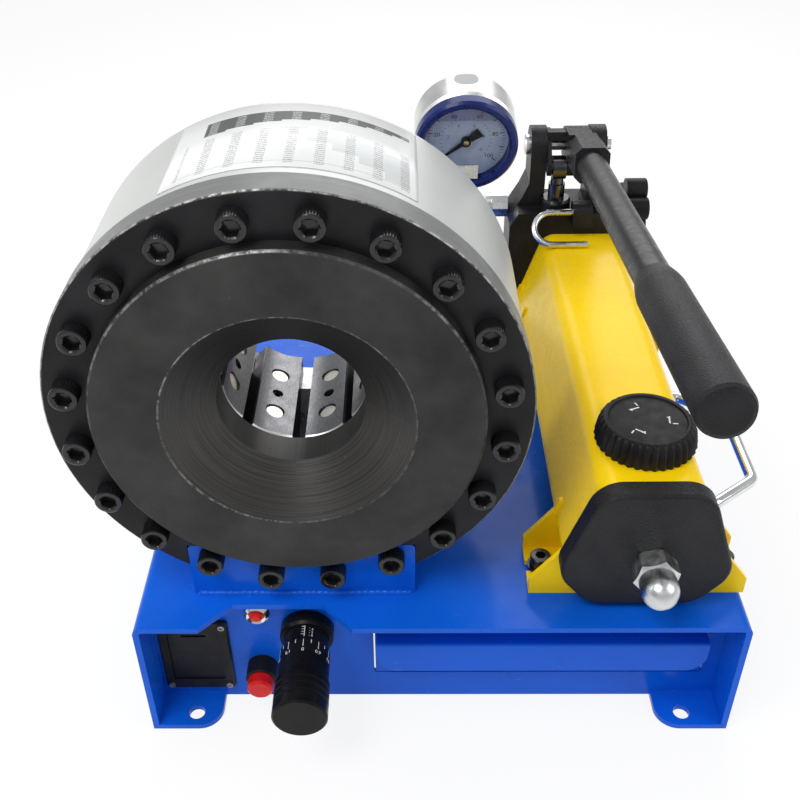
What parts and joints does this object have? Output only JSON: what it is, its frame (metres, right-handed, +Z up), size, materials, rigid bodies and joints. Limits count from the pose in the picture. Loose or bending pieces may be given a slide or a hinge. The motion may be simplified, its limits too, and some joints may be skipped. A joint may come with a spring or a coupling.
{
  "type": "manual hydraulic hose crimping machine",
  "caption": "Hand-pumped hydraulic hose crimping machine: bolted ring head with sliding dies, tank and lever pump on a sheet-metal base with drawer and gauge.",
  "frame": {"origin": "on the floor, at the centre of the four foot holes", "axes": "+X to the pump's side, +Y to the back, +Z up; the crimping head's face looks along -Y"},
  "size_m": [0.471, 0.4487, 0.373],
  "materials": {
    "blue_paint": "glossy",
    "yellow_paint": "glossy",
    "black_paint": "satin",
    "black_casting": "pebbled satin",
    "silver_grey_paint": "satin",
    "dark_machined": "blackened, turned",
    "machined_steel": "turned",
    "die_black": "blackened",
    "black_oxide": "black oxide",
    "zinc_steel": "bright zinc",
    "chrome": "polished",
    "brass": "plain",
    "black_rubber": "matte",
    "black_plastic": "satin",
    "red_plastic": "glossy",
    "white_bezel": "glossy",
    "blue_ring": "glossy",
    "dial_print": "printed",
    "needle_black": "matte",
    "clear_glass": "clear"
  },
  "bodies": {
    "machine_body": {"base_chassis": "blue_paint", "front_panel": "blue_paint", "back_panel": "blue_paint", "head_bracket": "blue_paint", "carry_handle_right": "chrome", "carry_handle_left": "chrome", "front_ring_flange": "black_paint", "front_cone_disc": "dark_machined", "cylinder_body": "silver_grey_paint", "head_bolts": "black_oxide", "pressure_block": "black_oxide", "pressure_pipe": "zinc_steel", "pump_outlet_fitting": "zinc_steel", "gauge_elbow": "brass", "gauge_case": "zinc_steel", "gauge_bezel": "blue_ring", "gauge_dial": "dial_print", "gauge_lens": "clear_glass", "pump_tank": "yellow_paint", "front_cap": "black_casting", "tie_rod": "zinc_steel", "acorn_nut": "chrome", "pump_foot_front": "yellow_paint", "pump_foot_back": "yellow_paint", "foot_screws": "black_oxide", "pump_head": "black_casting", "plunger_gland": "black_oxide", "pivot_pin": "zinc_steel", "battery_box": "black_plastic", "indicator_bezel": "white_bezel", "indicator_lens": "red_plastic", "button_body": "black_plastic", "micrometer_collar": "black_oxide", "drawer_rails": "zinc_steel"},
    "piston": {"ring_piston": "machined_steel", "piston_seal": "black_rubber"},
    "needle": {"gauge_needle": "needle_black"},
    "plunger": {"pump_plunger": "machined_steel"},
    "lever": {"lever_yoke": "black_casting", "lever_tube": "black_paint", "lever_grip": "black_rubber", "plunger_pin": "zinc_steel"},
    "hook": {"lever_hook": "zinc_steel"},
    "release_valve": {"release_stem": "zinc_steel", "release_knob": "black_plastic"},
    "filler": {"filler_knob": "black_plastic"},
    "battery_drawer": {"battery_tray": "black_plastic"},
    "button": {"button_cap": "red_plastic"},
    "spindle": {"micrometer_spindle": "machined_steel"},
    "thimble": {"micrometer_thimble": "black_oxide"},
    "tool_drawer": {"drawer_front": "blue_paint", "drawer_tray": "blue_paint"},
    "die_1": {"die_shoe_1": "die_black"},
    "die_2": {"die_shoe_2": "die_black"},
    "die_3": {"die_shoe_3": "die_black"},
    "die_4": {"die_shoe_4": "die_black"},
    "die_5": {"die_shoe_5": "die_black"},
    "die_6": {"die_shoe_6": "die_black"},
    "die_7": {"die_shoe_7": "die_black"},
    "die_8": {"die_shoe_8": "die_black"}
  },
  "joints": [
    {"name": "piston_slide", "type": "slide", "parent": "machine_body", "child": "piston", "axis": [0, -1, 0], "range_m": [0, 0.015], "stiffness_N_per_m": 2000, "springref_m": -0.01},
    {"name": "die_slide_1", "type": "slide", "parent": "machine_body", "child": "die_1", "axis": [-0.3827, 0, -0.9239], "range_m": [0, 0.009]},
    {"name": "die_slide_2", "type": "slide", "parent": "machine_body", "child": "die_2", "axis": [-0.9239, 0, -0.3827], "range_m": [0, 0.009]},
    {"name": "die_slide_3", "type": "slide", "parent": "machine_body", "child": "die_3", "axis": [-0.9239, 0, 0.3827], "range_m": [0, 0.009]},
    {"name": "die_slide_4", "type": "slide", "parent": "machine_body", "child": "die_4", "axis": [-0.3827, 0, 0.9239], "range_m": [0, 0.009]},
    {"name": "die_slide_5", "type": "slide", "parent": "machine_body", "child": "die_5", "axis": [0.3827, 0, 0.9239], "range_m": [0, 0.009]},
    {"name": "die_slide_6", "type": "slide", "parent": "machine_body", "child": "die_6", "axis": [0.9239, 0, 0.3827], "range_m": [0, 0.009]},
    {"name": "die_slide_7", "type": "slide", "parent": "machine_body", "child": "die_7", "axis": [0.9239, 0, -0.3827], "range_m": [0, 0.009]},
    {"name": "die_slide_8", "type": "slide", "parent": "machine_body", "child": "die_8", "axis": [0.3827, 0, -0.9239], "range_m": [0, 0.009]},
    {"name": "lever_hinge", "type": "hinge", "parent": "machine_body", "child": "lever", "pos_m": [0.12, 0.1746, 0.251], "axis": [-1, 0, 0], "range_deg": [0, 45]},
    {"name": "plunger_slide", "type": "slide", "parent": "machine_body", "child": "plunger", "axis": [0, 0, 1], "range_m": [0, 0.0159]},
    {"name": "hook_hinge", "type": "hinge", "parent": "machine_body", "child": "hook", "pos_m": [0.1215, 0.1406, 0.208], "axis": [-1, 0, 0], "range_deg": [0, 95]},
    {"name": "release_turn", "type": "hinge", "parent": "machine_body", "child": "release_valve", "pos_m": [0.154, 0.1746, 0.196], "axis": [1, 0, 0], "range_deg": [0, 270]},
    {"name": "filler_turn", "type": "hinge", "parent": "machine_body", "child": "filler", "pos_m": [0.124, -0.1204, 0.187], "axis": [0, 0, 1], "range_deg": [0, 180]},
    {"name": "drawer_slide", "type": "slide", "parent": "machine_body", "child": "tool_drawer", "axis": [0, -1, 0], "range_m": [0, 0.15]},
    {"name": "battery_drawer_slide", "type": "slide", "parent": "machine_body", "child": "battery_drawer", "axis": [0, -1, 0], "range_m": [0, 0.045]},
    {"name": "button_press", "type": "slide", "parent": "machine_body", "child": "button", "axis": [0, 1, 0], "range_m": [0, 0.003], "stiffness_N_per_m": 500, "springref_m": -0.002},
    {"name": "spindle_feed", "type": "slide", "parent": "machine_body", "child": "spindle", "axis": [0, 1, 0], "range_m": [-0.004, 0.008]},
    {"name": "thimble_turn", "type": "hinge", "parent": "spindle", "child": "thimble", "pos_m": [-0.084, -0.2326, 0.068], "axis": [0, 1, 0], "range_deg": [-1440, 2880]},
    {"name": "needle_turn", "type": "hinge", "parent": "machine_body", "child": "needle", "pos_m": [0.0187, 0.0038, 0.326], "axis": [0, 0.9826, 0.1857], "range_deg": [0, 256]}
  ],
  "couplings": [
    {"joint": "die_slide_1", "follows": "piston_slide", "ratio": 0.6},
    {"joint": "die_slide_2", "follows": "piston_slide", "ratio": 0.6},
    {"joint": "die_slide_3", "follows": "piston_slide", "ratio": 0.6},
    {"joint": "die_slide_4", "follows": "piston_slide", "ratio": 0.6},
    {"joint": "die_slide_5", "follows": "piston_slide", "ratio": 0.6},
    {"joint": "die_slide_6", "follows": "piston_slide", "ratio": 0.6},
    {"joint": "die_slide_7", "follows": "piston_slide", "ratio": 0.6},
    {"joint": "die_slide_8", "follows": "piston_slide", "ratio": 0.6},
    {"joint": "plunger_slide", "follows": "lever_hinge", "m_per_rad": 0.02},
    {"joint": "thimble_turn", "follows": "spindle_feed", "rad_per_m": 6283.2}
  ]
}
